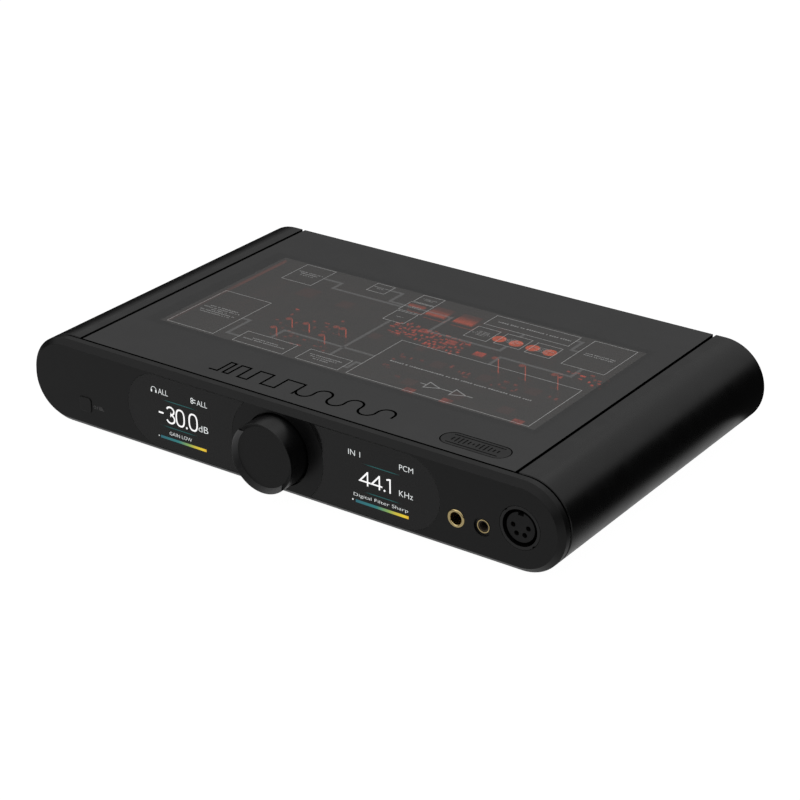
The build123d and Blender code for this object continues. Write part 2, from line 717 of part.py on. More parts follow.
def make_main_board():
    board = box(-28.0, 121.0, 44.0, 176.0, main_board_z, main_board_z + board_thickness)
    for x, y in main_corners:
        board -= rod_z(x, y, 1.6, main_board_z, main_board_z + board_thickness)
    return board


def make_supply_board():
    board = box(-121.0, -37.0, 56.0, 172.0, main_board_z, main_board_z + board_thickness)
    for x, y in supply_corners:
        board -= rod_z(x, y, 1.6, main_board_z, main_board_z + board_thickness)
    return board


def make_upper_board():
    board = box(-127.5, 127.5, 40.0, 196.0, upper_board_z, upper_top)
    for x, y in pillar_places:
        board -= rod_z(x, y, 1.6, upper_board_z, upper_top)
    return board


def make_pillar(x, y, z1):
    outline = Pos(x, y) * RegularPolygon(2.75, 6, major_radius=False)
    return from_below(outline, base_thickness, z1) - rod_z(x, y, thread_hole_radius, base_thickness, z1)


def seated(x, y, width, depth, height):
    """A block standing on the upper board, given by its centre."""
    return box(x - width / 2, x + width / 2, y - depth / 2, y + depth / 2, upper_top, upper_top + height)


def make_capacitor(x, y, radius, z0, z1):
    """A radial can with its crimped neck and a vent cross in the top."""
    can = rod_z(x, y, radius, z0, z1)
    can = fillet(can.faces().sort_by(Axis.Z)[-1].edges(), min(0.4, radius / 6))
    neck = rod_z(x, y, radius + 1, z0 + 1.2, z0 + 1.9) - rod_z(x, y, radius - 0.25, z0 + 1.2, z0 + 1.9)
    vent = Pos(x, y, z1) * (Box(radius, 0.3, 0.3) + Box(0.3, radius, 0.3))
    return can - neck - vent


def make_relay(x, y):
    """A flat sealed relay: a case with chamfered top edges on a slightly wider plinth."""
    case = seated(x, y, 13.4, 12.8, 3.0)
    case = chamfer(case.faces().sort_by(Axis.Z)[-1].edges(), 0.5)
    return case + seated(x, y, 14.0, 13.4, 0.8)


def make_crystal(x, y):
    """A clock crystal: a pill-shaped can on a flange."""
    can = Pos(x, y) * SlotOverall(12.0, 4.4)
    flange = Pos(x, y) * SlotOverall(12.8, 5.2)
    can = from_below(can, upper_top, upper_top + 3.4)
    can = fillet(can.faces().sort_by(Axis.Z)[-1].edges(), 0.5)
    return can + from_below(flange, upper_top, upper_top + 0.5)


def make_heat_sink(x, y, length=26.0):
    """A finned bar: a base with upright fins."""
    sink = seated(x, y, length, 11.0, 1.2)
    for k in range(6):
        fin_y = y - 5.0 + 2.0 * k
        sink += box(x - length / 2, x + length / 2, fin_y - 0.4, fin_y + 0.4, upper_top + 1.2, upper_top + 4.0)
    return sink


def make_chip(x, y, size, base):
    """A square flat package with a row of legs on each of two sides and a pin-one dimple."""
    chip = box(x - size / 2, x + size / 2, y - size / 2, y + size / 2, base, base + 1.4)
    chip = chamfer(chip.faces().sort_by(Axis.Z)[-1].edges(), 0.15)
    legs = int(size / 1.27)
    for side in (-1, 1):
        for k in range(legs):
            leg_y = y + (k - (legs - 1) / 2) * 1.27
            leg_x = x + side * (size / 2 + 0.5)
            chip += box(leg_x - 0.6, leg_x + 0.6, leg_y - 0.2, leg_y + 0.2, base, base + 0.4)
    return chip - rod_z(x - size / 2 + 1.2, y + size / 2 - 1.2, 0.4, base + 1.2, base + 1.4)


def make_surface_parts():
    """Chip parts scattered in clusters, clear of each other and of the larger parts, and a few flat tabs."""
    taken = [(x, y, 7.5, 7.2) for x, y in relay_places]
    taken.append((*crystal_place, 6.9, 3.1))
    taken += [(x, y, 4.6, 4.6) for x, y in filter_capacitor_places]
    taken += [(x, y, 2.6, 2.6) for x, y in slim_capacitor_places + short_capacitor_places]
    taken += [(x, y, 13.5, 6.0) for x, y in heat_sink_places]
    taken += [(x, y, 5.8, 4.5) for x, y in module_chip_places]
    taken += [(x, y, size / 2 + 1.8, size / 2 + 0.5) for x, y, size in chip_places]
    parts = [seated(x, y, 6.4, 5.0, 1.0) for x, y in tab_places]
    taken += [(x, y, 3.5, 2.8) for x, y in tab_places]
    rng = random.Random(5)
    for x0, y0, span_x, span_y, count in clusters:
        placed = 0
        while placed < count:
            x = x0 + rng.uniform(-span_x, span_x)
            y = y0 + rng.uniform(-span_y, span_y)
            sides = [rng.choice((1.6, 2.0, 2.4, 3.2)), rng.choice((1.0, 1.2, 1.6))]
            rng.shuffle(sides)
            half_x, half_y = sides[0] / 2 + 0.25, sides[1] / 2 + 0.25
            if any(abs(x - tx) < tw + half_x and abs(y - ty) < th + half_y for tx, ty, tw, th in taken):
                continue
            taken.append((x, y, half_x, half_y))
            parts.append(seated(x, y, *sides, rng.choice((0.6, 0.8, 1.2))))
            placed += 1
    return join(parts)


def make_transformer():
    """A flat mains transformer: a laminated core round a taped winding."""
    core = box(-110.0, -58.0, 84.0, 128.0, board_top, board_top + 19.0)
    for y in (91.0, 113.0):
        core -= box(-110.0, -58.0, y, y + 8.0, board_top + 4.0, board_top + 15.0)
    return core


def make_winding():
    """The winding bobbin that fills the two windows of the core and wraps its middle limb."""
    winding = box(-106.0, -62.0, 91.2, 120.8, board_top + 4.1, board_top + 14.9)
    return winding - box(-106.0, -62.0, 98.8, 113.2, board_top + 4.1, board_top + 14.9)


def make_supply_capacitors():
    """Slim regulator cans on the upper board and three reservoir cans on the supply board."""
    cans = [make_capacitor(x, y, 2.0, upper_top, can_top) for x, y in slim_capacitor_places]
    cans += [make_capacitor(x, y, 2.0, upper_top, short_can_top) for x, y in short_capacitor_places]
    cans += [make_capacitor(x, 148.0, 8.0, board_top, board_top + 20.0) for x in (-104.0, -84.0, -64.0)]
    return join(cans)


def make_ribbon():
    """A flat cable that drops from the front board and runs back to the main board."""
    points = [(17.0, 14.0), (26.0, 14.0), (34.0, board_top + 0.6), (47.0, board_top + 0.6)]
    path = FilletPolyline(*points, radius=3.0)
    strip = trace(path, line_width=0.8)
    plane = Plane(origin=(-14.0, 0, 0), x_dir=(0, 1, 0), z_dir=(1, 0, 0))
    return extrude(plane * strip, amount=26.0)


def make_shield_can():
    can = box(70.0, 108.0, 130.0, 164.0, board_top, board_top + 7.0)
    return can - box(70.4, 107.6, 130.4, 163.6, board_top, board_top + 6.6)


def make_board_chips():
    """The upper board's chips and, below them, the main board's."""
    chips = [make_chip(x, y, 8.0, upper_top) for x, y in module_chip_places]
    chips += [make_chip(x, y, size, upper_top) for x, y, size in chip_places]
    places = [(20.0, 70.0, 14.0), (52.0, 70.0, 10.0), (20.0, 112.0, 10.0), (52.0, 112.0, 10.0), (30.0, 150.0, 12.0)]
    return join(chips + [make_chip(x, y, size, board_top) for x, y, size in places])


def wire(points, radius=1.3):
    """A round insulated wire along straight runs joined by tangent arcs."""
    path = FilletPolyline(*points, radius=4.0)
    start = Plane(origin=path @ 0, z_dir=path % 0)
    return sweep(start * Circle(radius), path=path)


def make_mains_wires():
    """Live and neutral from the inlet to the switch, and on to the supply board."""
    wires = []
    for inlet_dx, switch_dx, y_run in ((-7.0, 5.0, rear_face - 38.0), (7.0, -5.0, rear_face - 32.5)):
        z = rear_mid_z - 2.0
        start = (inlet_x + inlet_dx, rear_face - 26.2, z)
        end = (switch_x + switch_dx, rear_face - 22.2, z)
        wires.append(wire([start, (start[0], y_run, z), (end[0], y_run, z), end]))
    return join(wires)


def build_case():
    add("front_panel", make_front_panel())
    add("front_subframe", make_subframe())
    right = make_extrusion()
    add("right_side_extrusion", right)
    add("left_side_extrusion", mirror(right, about=Plane.YZ))
    add("top_panel", make_top_panel())
    add("top_badge", make_badge())
    add("top_frame", make_top_frame())
    add("base_plate", make_base_plate())
    add("rear_panel", make_rear_panel())
    feet = [(side * foot_x, y) for side in (-1, 1) for y in foot_y]
    add("rubber_feet", join([make_foot(x, y) for x, y in feet]))
    flush = [countersunk_screw(side * base_screw_x, y, 0) for side in (-1, 1) for y in base_screw_y]
    sunk = [countersunk_screw(x, y, -foot_height + foot_screw_sink) for x, y in feet]
    add("countersunk_screws", join(flush + sunk))
    caps = [cap_screw(x, z, rear_face, -1) for x, z in end_screw_places]
    caps += [cap_screw(x, z, front_thickness, 1) for x, z in end_screw_places]
    caps += [cap_screw(x, z, subframe_back, -1) for x, z in panel_screw_places]
    add("cap_screws", join(caps))


def build_front():
    add("volume_knob", make_knob())
    add("knob_inlay", make_knob_inlay())
    add("knob_grub_screw", grub_screw())
    add("encoder_body", make_encoder_body())
    add("encoder_shaft", make_encoder_shaft())
    add("encoder_plunger", make_encoder_plunger())
    add("encoder_nut", make_encoder_nut())
    add("select_button", make_button())
    add("button_switch", make_button_switch())
    for name, side in (("left", -1), ("right", 1)):
        add(f"{name}_lens", from_front(lens_outline(side, lens_fit), 0, lens_thickness))
        add(f"{name}_display", make_display(side))
    add("front_board", make_front_board())
    add("large_jack_bush", make_large_jack_bush())
    add("large_jack_body", make_jack_body(jack_large_x, 4.8, front_thickness, jack_large_bore, 7.5, 38.0))
    add("small_jack_bush", make_small_jack_bush())
    nose = (jack_small_nose, jack_small_recess + 0.1)
    add("small_jack_body", make_jack_body(jack_small_x, *nose, jack_small_bore, 6.0, 32.0))
    add("headphone_xlr_shell", make_phones_xlr_shell())
    add("headphone_xlr_insert", make_phones_xlr_insert())
    add("headphone_xlr_contacts", make_phones_xlr_contacts())


def grub_screw():
    screw = Pos(0, 0, mid_z) * Rot(0, 90, 0) * Pos(0, 0, 4.45) * Cylinder(1.2, 2.8)
    return screw - Pos(0, 0, mid_z) * Rot(0, 90, 0) * Pos(0, 0, 5.4) * extrude(RegularPolygon(0.7, 6), 1.0)


def build_rear():
    add("mains_inlet", make_mains_inlet())
    add("mains_inlet_pins", make_inlet_pins())
    add("power_switch_frame", make_switch_frame())
    add("power_switch_rocker", make_rocker())
    add("xlr_output_shells", join([make_xlr_out_shell(x) for x in xlr_out_x]))
    add("xlr_output_pins", make_xlr_out_pins())
    add("rca_shells", join([make_rca_shell(x) for x in (coax_x, *rca_out_x)]))
    add("rca_cores", join([make_rca_core(x) for x in (coax_x, *rca_out_x)]))
    add("usb_socket", make_usb_socket())
    add("optical_socket", make_optical_socket())
    add("antenna_socket", make_antenna_socket())
    add("trigger_socket", make_trigger_socket())


def build_inside():
    add("main_board", make_main_board())
    add("power_supply_board", make_supply_board())
    add("upper_board", make_upper_board())
    posts = [make_pillar(x, y, main_board_z) for x, y in supply_corners + main_corners]
    posts += [make_pillar(x, y, upper_board_z) for x, y in pillar_places]
    add("board_standoffs", join(posts + make_front_board_posts()))
    cans = [make_capacitor(x, y, 4.1, upper_top, can_top) for x, y in filter_capacitor_places]
    add("filter_capacitors", join(cans))
    sealed = [make_relay(x, y) for x, y in relay_places]
    add("relays_and_crystal", join(sealed + [make_crystal(*crystal_place)]))
    add("heat_sinks", join([make_heat_sink(x, y) for x, y in heat_sink_places]))
    add("board_chips", make_board_chips())
    add("surface_parts", make_surface_parts())
    add("receiver_shield", make_shield_can())
    add("power_transformer_core", make_transformer())
    add("power_transformer_winding", make_winding())
    add("supply_capacitors", make_supply_capacitors())
    add("front_ribbon_cable", make_ribbon())
    add("mains_wires", make_mains_wires())


build_case()
build_front()
build_rear()
build_inside()
os.makedirs("parts", exist_ok=True)
for name, shape in PARTS.items():
    export_step(shape, f"parts/{name}.step")
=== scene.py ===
import math
import random
import bpy
from mathutils import Matrix, Vector


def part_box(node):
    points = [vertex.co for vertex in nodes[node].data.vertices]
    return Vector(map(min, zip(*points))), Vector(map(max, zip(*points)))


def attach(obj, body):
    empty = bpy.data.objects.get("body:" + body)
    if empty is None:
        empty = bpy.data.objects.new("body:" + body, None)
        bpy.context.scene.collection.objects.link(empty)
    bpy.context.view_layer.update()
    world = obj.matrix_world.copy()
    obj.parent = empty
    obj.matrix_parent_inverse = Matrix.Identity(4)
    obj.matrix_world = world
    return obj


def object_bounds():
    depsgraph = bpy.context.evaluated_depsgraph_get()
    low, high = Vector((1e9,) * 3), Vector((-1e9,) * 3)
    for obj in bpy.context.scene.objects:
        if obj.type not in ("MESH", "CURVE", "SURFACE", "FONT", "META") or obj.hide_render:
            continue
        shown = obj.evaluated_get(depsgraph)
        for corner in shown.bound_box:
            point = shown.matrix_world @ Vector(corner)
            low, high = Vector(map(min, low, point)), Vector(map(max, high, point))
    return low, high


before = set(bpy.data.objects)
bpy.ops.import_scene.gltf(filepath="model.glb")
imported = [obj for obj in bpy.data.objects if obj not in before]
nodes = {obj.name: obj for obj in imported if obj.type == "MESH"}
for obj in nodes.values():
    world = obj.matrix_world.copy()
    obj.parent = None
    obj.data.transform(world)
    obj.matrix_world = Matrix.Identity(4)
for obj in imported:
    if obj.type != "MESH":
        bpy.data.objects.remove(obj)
cad_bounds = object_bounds()

# Case coordinates in millimetres: X right, Y back from the front face, Z up from the underside
front_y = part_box("front_panel")[0].y
under_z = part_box("base_plate")[0].z
top_z = (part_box("top_panel")[1].z - under_z) * 1000
board_z = (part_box("upper_board")[1].z - under_z) * 1000
knob_low, knob_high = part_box("volume_knob")
knob_centre = (knob_low + knob_high) / 2


def at(x, y, z):
    """A point of the shared frame, in metres, from case millimetres."""
    return Vector((x / 1000, front_y + y / 1000, under_z + z / 1000))


# ---------------------------------------------------------------- node helpers


class Look:
    """A node-based material: a Principled shader and short calls that feed it."""

    def __init__(self, name, color, rough, metal=0.0, spec=0.5):
        self.mat = bpy.data.materials.new(name)
        self.mat.use_nodes = True
        self.tree = self.mat.node_tree
        self.tree.nodes.clear()
        self.out = self.node("ShaderNodeOutputMaterial")
        self.bsdf = self.node("ShaderNodeBsdfPrincipled")
        self.set(self.bsdf, "Base Color", (*color, 1.0))
        self.set(self.bsdf, "Roughness", rough)
        self.set(self.bsdf, "Metallic", metal)
        self.set(self.bsdf, "Specular IOR Level", spec)
        self.link(self.bsdf.outputs[0], self.out.inputs["Surface"])
        self.coords = self.node("ShaderNodeTexCoord").outputs["Object"]
        self.normal = None

    def node(self, kind, **values):
        made = self.tree.nodes.new(kind)
        for key, value in values.items():
            setattr(made, key, value)
        return made

    def link(self, a, b):
        self.tree.links.new(a, b)

    def set(self, node, name, value):
        """Give an input a number, a colour or another node's output."""
        socket = node.inputs[name]
        if isinstance(value, bpy.types.NodeSocket):
            self.link(value, socket)
        elif socket.type == "RGBA" and len(value) == 3:
            socket.default_value = (*value, 1.0)
        else:
            socket.default_value = value

    def feed(self, name, value):
        self.set(self.bsdf, name, value)

    def math(self, operation, a, b=0.0):
        made = self.node("ShaderNodeMath", operation=operation)
        self.set(made, 0, a)
        self.set(made, 1, b)
        return made.outputs[0]

    def stretched(self, scale):
        made = self.node("ShaderNodeMapping")
        self.link(self.coords, made.inputs["Vector"])
        made.inputs["Scale"].default_value = scale
        return made.outputs[0]

    def noise(self, scale, detail=3.0, vector=None):
        made = self.node("ShaderNodeTexNoise")
        self.set(made, "Scale", scale)
        self.set(made, "Detail", detail)
        self.set(made, "Roughness", 0.55)
        self.link(vector or self.coords, made.inputs["Vector"])
        return made.outputs["Fac"]

    def cells(self, scale):
        made = self.node("ShaderNodeTexVoronoi", feature="F1")
        self.set(made, "Scale", scale)
        self.link(self.coords, made.inputs["Vector"])
        return made.outputs["Distance"]

    def remap(self, value, low, high, to_low, to_high, smooth=False):
        made = self.node("ShaderNodeMapRange")
        made.interpolation_type = "SMOOTHSTEP" if smooth else "LINEAR"
        self.set(made, "Value", value)
        self.set(made, "From Min", low)
        self.set(made, "From Max", high)
        self.set(made, "To Min", to_low)
        self.set(made, "To Max", to_high)
        return made.outputs[0]

    def mix(self, factor, a, b):
        made = self.node("ShaderNodeMix", data_type="RGBA")
        self.set(made, 0, factor)
        for index, value in ((6, a), (7, b)):
            if isinstance(value, bpy.types.NodeSocket):
                self.link(value, made.inputs[index])
            else:
                made.inputs[index].default_value = (*value, 1.0)
        return made.outputs[2]

    def ramp(self, factor, *stops):
        made = self.node("ShaderNodeValToRGB")
        elements = made.color_ramp.elements
        while len(elements) < len(stops):
            elements.new(0.5)
        for element, (place, color) in zip(elements, stops):
            element.position = place
            element.color = (*color, 1.0)
        self.link(factor, made.inputs[0])
        return made.outputs[0]

    def axes(self):
        made = self.node("ShaderNodeSeparateXYZ")
        self.link(self.coords, made.inputs[0])
        return made.outputs

    def bevel(self, radius):
        """Soft edges: normals rounded over a radius in metres."""
        made = self.node("ShaderNodeBevel", samples=4)
        self.set(made, "Radius", radius)
        self.normal = made.outputs[0]
        self.feed("Normal", self.normal)
        return self

    def bump(self, height, strength, distance=0.0002):
        made = self.node("ShaderNodeBump")
        self.set(made, "Strength", strength)
        self.set(made, "Distance", distance)
        self.link(height, made.inputs["Height"])
        if self.normal is not None:
            self.link(self.normal, made.inputs["Normal"])
        self.normal = made.outputs[0]
        self.feed("Normal", self.normal)
        return self

    def worn(self, low, high, scale=90.0):
        """Roughness that drifts over the surface, as handling leaves it."""
        broad = self.noise(scale, 4.0)
        self.feed("Roughness", self.remap(broad, 0.3, 0.7, low, high))
        return self

    def tinted(self, dark, light, scale=60.0):
        self.feed("Base Color", self.mix(self.remap(self.noise(scale, 3.0), 0.35, 0.65, 0, 1), dark, light))
        return self

    def glow(self, color, strength):
        self.feed("Emission Color", color)
        self.feed("Emission Strength", strength)
        return self

    def see_through(self, share):
        """Mix the shader with plain transparency by a share that may come from nodes."""
        clear = self.node("ShaderNodeBsdfTransparent")
        mixer = self.node("ShaderNodeMixShader")
        self.set(mixer, 0, share)
        self.link(self.bsdf.outputs[0], mixer.inputs[1])
        self.link(clear.outputs[0], mixer.inputs[2])
        self.link(mixer.outputs[0], self.out.inputs["Surface"])
        return self

    def box_mask(self, x0, x1, y0, y1, feather):
        """1 inside a rectangle given in case millimetres, falling to 0 over the feather outside it."""
        axes = self.axes()
        low, high = at(x0, y0, 0), at(x1, y1, 0)
        f = feather / 1000
        masks = []
        for axis, a, b in ((axes[0], low.x, high.x), (axes[1], low.y, high.y)):
            off = self.math("ABSOLUTE", self.math("SUBTRACT", axis, (a + b) / 2))
            masks.append(self.remap(off, (b - a) / 2, (b - a) / 2 + f, 1.0, 0.0, smooth=True))
        return self.math("MULTIPLY", masks[0], masks[1])


def wear(name, look):
    """Give a CAD node or a made piece its material."""
    target = nodes[name] if isinstance(name, str) else name
    target.data.materials.clear()
    target.data.materials.append(look.mat)
    for polygon in target.data.polygons:
        polygon.material_index = 0


# ---------------------------------------------------------------- materials


def blasted(name, base, rough, spec=0.3, bevel=0.00025):
    """Bead-blasted anodised aluminium: a fine pebble grain under a dye that varies a little."""
    look = Look(name, base, rough, spec=spec)
    look.bevel(bevel)
    look.tinted([c * 0.85 for c in base], [c * 1.15 for c in base], 35.0)
    look.worn(rough - 0.03, rough + 0.04)
    grain = look.math("ADD", look.noise(2600.0, 2.0), look.cells(3400.0))
    return look.bump(grain, 0.045, 0.00006)


def moulded(name, base, rough, spec=0.4, grain=0.05):
    """Moulded plastic: a soft orange-peel skin."""
    look = Look(name, base, rough, spec=spec)
    look.bevel(0.00015)
    look.tinted([c * 0.9 for c in base], [c * 1.1 for c in base], 200.0)
    look.worn(rough - 0.05, rough + 0.06, 300.0)
    return look.bump(look.noise(1500.0, 3.0), grain, 0.0001)


def plated(name, base, rough):
    """Plated metal with fine drawing lines."""
    look = Look(name, base, rough, metal=1.0)
    look.bevel(0.00012)
    look.tinted([c * 0.92 for c in base], base, 400.0)
    look.worn(rough * 0.8, rough * 1.3, 500.0)
    return look.bump(look.noise(900.0, 2.0, look.stretched((1, 8, 1))), 0.02, 0.00005)


case_metal = blasted("case_metal", (0.0018, 0.0018, 0.0019), 0.27, spec=0.56)
face_metal = blasted("face_metal", (0.0022, 0.0022, 0.0024), 0.36, spec=0.46)
black_steel = blasted("black_steel", (0.02, 0.02, 0.021), 0.5)
screw_black = plated("screw_black", (0.09, 0.09, 0.09), 0.35)
nickel = plated("nickel", (0.62, 0.61, 0.58), 0.22)
gold = plated("gold", (0.95, 0.75, 0.37), 0.17)
dark_plate = blasted("dark_plate", (0.004, 0.004, 0.0042), 0.28, spec=0.62)
black_plastic = moulded("black_plastic", (0.012, 0.012, 0.0125), 0.45)
insert_plastic = moulded("insert_plastic", (0.008, 0.008, 0.0085), 0.5)
brown_plastic = moulded("brown_plastic", (0.06, 0.045, 0.032), 0.5)


def make_knob_look():
    """Black anodised metal turned on a lathe: rings on the face and lines round the side."""
    look = Look("knob_metal", (0.0022, 0.0022, 0.0024), 0.3, spec=0.42)
    look.bevel(0.0002)
    axes = look.axes()
    dz = look.math("SUBTRACT", axes[2], knob_centre.z)
    squares = look.math("ADD", look.math("MULTIPLY", axes[0], axes[0]), look.math("MULTIPLY", dz, dz))
    radius = look.math("SQRT", squares)
    place = look.node("ShaderNodeCombineXYZ")
    look.link(radius, place.inputs[0])
    look.link(axes[1], place.inputs[1])
    rings = look.noise(5200.0, 1.0, place.outputs[0])
    look.feed("Roughness", look.remap(rings, 0.3, 0.7, 0.27, 0.35))
    return look.bump(rings, 0.05, 0.00004)


def make_inlay_look():
    """The knob's pointer ring: grey anodising, with a painted sheen that brightens it towards its two ends.
    """
    look = Look("knob_inlay_metal", (0.03, 0.03, 0.03), 0.45, spec=0.3)
    look.worn(0.4, 0.5, 400.0)
    axes = look.axes()
    dz = look.math("SUBTRACT", axes[2], knob_centre.z)
    # Painted sheen: the base colour gets lighter towards both ends of the ring.
    along = look.math("DIVIDE", look.math("SUBTRACT", dz, axes[0]), 0.025)
    painted_sheen_ends = look.math("POWER", look.math("ABSOLUTE", along), 3.0)
    look.feed("Base Color", look.mix(painted_sheen_ends, (0.02, 0.02, 0.0205), (0.17, 0.17, 0.172)))
    return look.bump(look.noise(3000.0), 0.03, 0.00005)


def make_lens_look():
    """Smoked glass: nearly black and glossy, faintly wavy, with a little light coming through."""
    look = Look("smoked_glass", (0.013, 0.013, 0.0132), 0.07, spec=0.57)
    look.worn(0.05, 0.1, 25.0)
    look.bump(look.noise(18.0, 1.0), 0.004, 0.001)
    return look.see_through(0.15)


TOP_BLACK = (0.012, 0.012, 0.0122)
TOP_GLOSS = 0.85
# Near black used as painted shade in engraved grooves and sunk marks.
GROOVE_SHADE_BLACK = (0.0005, 0.0005, 0.0005)


def make_top_look():
    """The top plate: satin black acrylic that clears to smoke over the boards, with painted shade in its
    engraved grooves and a painted haze of the inner glow over the window.
    """
    look = Look("top_plate", TOP_BLACK, 0.4, spec=TOP_GLOSS)
    look.bevel(0.0002)
    look.worn(0.38, 0.44, 40.0)
    look.bump(look.noise(2600.0, 2.0), 0.03, 0.00005)
    axes = look.axes()
    # Painted shade in the engraved grooves: below the top face the colour is near black and the specular is
    # gone.
    land = look.remap(axes[2], at(0, 0, top_z - 0.12).z, at(0, 0, top_z - 0.03).z, 0.0, 1.0)
    inner = look.box_mask(-120, 121, 51, 161, 0.5)
    outer = look.box_mask(-127, 123, 48, 164, 3.0)
    # Painted haze: over the window the base colour is paler, as the glow from inside the case would make it.
    painted_haze = look.mix(inner, TOP_BLACK, (0.115, 0.111, 0.108))
    look.feed("Base Color", look.mix(land, GROOVE_SHADE_BLACK, painted_haze))
    look.feed("Specular IOR Level", look.math("MULTIPLY", land, TOP_GLOSS))
    share = look.math("ADD", look.math("MULTIPLY", inner, 0.26), look.math("MULTIPLY", outer, 0.06))
    return look.see_through(share)


def make_badge_look():
    """The badge: the plate's own black, with painted shade in the marks sunk into it: darker and duller than
    the land around them.
    """
    look = Look("badge_metal", (0.004, 0.004, 0.0042), 0.34, spec=0.5)
    look.bevel(0.0001)
    look.worn(0.3, 0.38, 80.0)
    land = look.remap(look.axes()[2], at(0, 0, top_z - 0.1).z, at(0, 0, top_z - 0.03).z, 0.0, 1.0)
    # Painted shade in the sunk marks: near black, and less specular.
    look.feed("Base Color", look.mix(land, GROOVE_SHADE_BLACK, (0.004, 0.004, 0.0042)))
    look.feed("Specular IOR Level", look.remap(land, 0.0, 1.0, 0.22, 0.5))
    return look.bump(look.noise(2600.0, 2.0), 0.03, 0.00005)


def make_board_look():
    """Black solder mask with faint copper tracks and scattered vias, and a faint painted glow, stronger on
    the tracks and vias, as of light from inside the case.
    """
    look = Look("circuit_board", (0.03, 0.03, 0.032), 0.4, spec=0.5)
    look.bevel(0.0001)
    brick = look.node("ShaderNodeTexBrick", offset=0.37, squash=1.7)
    look.link(look.stretched((1, 1, 1)), brick.inputs["Vector"])
    for name, value in (("Scale", 95.0), ("Mortar Size", 0.035), ("Brick Width", 0.9), ("Row Height", 0.32)):
        brick.inputs[name].default_value = value
    areas = look.remap(look.noise(55.0, 1.0), 0.5, 0.56, 0.0, 1.0)
    tracks = look.math("MULTIPLY", brick.outputs["Fac"], areas)
    vias = look.remap(look.cells(300.0), 0.13, 0.16, 1.0, 0.0)
    marks = look.math("MAXIMUM", tracks, look.math("MULTIPLY", vias, 0.8))
    look.feed("Base Color", look.mix(marks, (0.028, 0.028, 0.03), (0.11, 0.075, 0.055)))
    # Painted glow: the board shines faintly, most on its tracks and vias.
    look.glow(look.mix(marks, (0.3, 0.29, 0.29), (0.9, 0.3, 0.2)), look.remap(marks, 0, 1, 0.015, 0.05))
    return look.bump(marks, 0.1, 0.00005)


# The way that the painted streaks of light on upright parts face
STREAK_SIDE = (0.94, 0.34, 0.0)


def glow_painted_part(name, base, glow, strength, side=0.03, streak=0.0, fade=None, least=0.75, above=None):
    """A part with light painted on it as if from inside the case: its top glows, and its sides stay dark but
    for one painted streak of light.

    fade gives two depths in the case and the share of the glow of the top that is left at the second, least
    is the glow of the dullest patches, and above is a height in the case under which no top glows.
    """
    look = Look(name, base, 0.4)
    look.bevel(0.00015)
    look.tinted([c * 0.8 for c in base], base, 250.0)
    facing = look.node("ShaderNodeNewGeometry").outputs["Normal"]
    up = look.node("ShaderNodeSeparateXYZ")
    look.link(facing, up.inputs[0])
    aim = look.node("ShaderNodeVectorMath", operation="DOT_PRODUCT")
    look.link(facing, aim.inputs[0])
    aim.inputs[1].default_value = STREAK_SIDE
    # Painted highlight: a streak on the side facing STREAK_SIDE; painted light on the tops, while the sides
    # keep only the side share.
    edge = look.remap(aim.outputs["Value"], 0.8, 0.98, 0.0, streak, smooth=True)
    flat = look.remap(up.outputs[2], 0.5, 1.0, side, 1.0)
    if fade is not None:
        full, spent, share = fade
        along = look.remap(look.axes()[1], at(0, full, 0).y, at(0, spent, 0).y, 1.0, share, smooth=True)
        flat = look.math("MULTIPLY", flat, along)
    if above is not None:
        high = look.remap(look.axes()[2], at(0, 0, above - 0.5).z, at(0, 0, above).z, 0.0, 1.0)
        flat = look.math("MULTIPLY", flat, high)
    patches = look.remap(look.noise(260.0, 2.0), 0.35, 0.65, least, 1.1)
    total = look.math("MULTIPLY", look.math("ADD", flat, edge), patches)
    look.glow(glow, look.math("MULTIPLY", total, strength))
    return look.bump(look.noise(1200.0), 0.03, 0.0001)


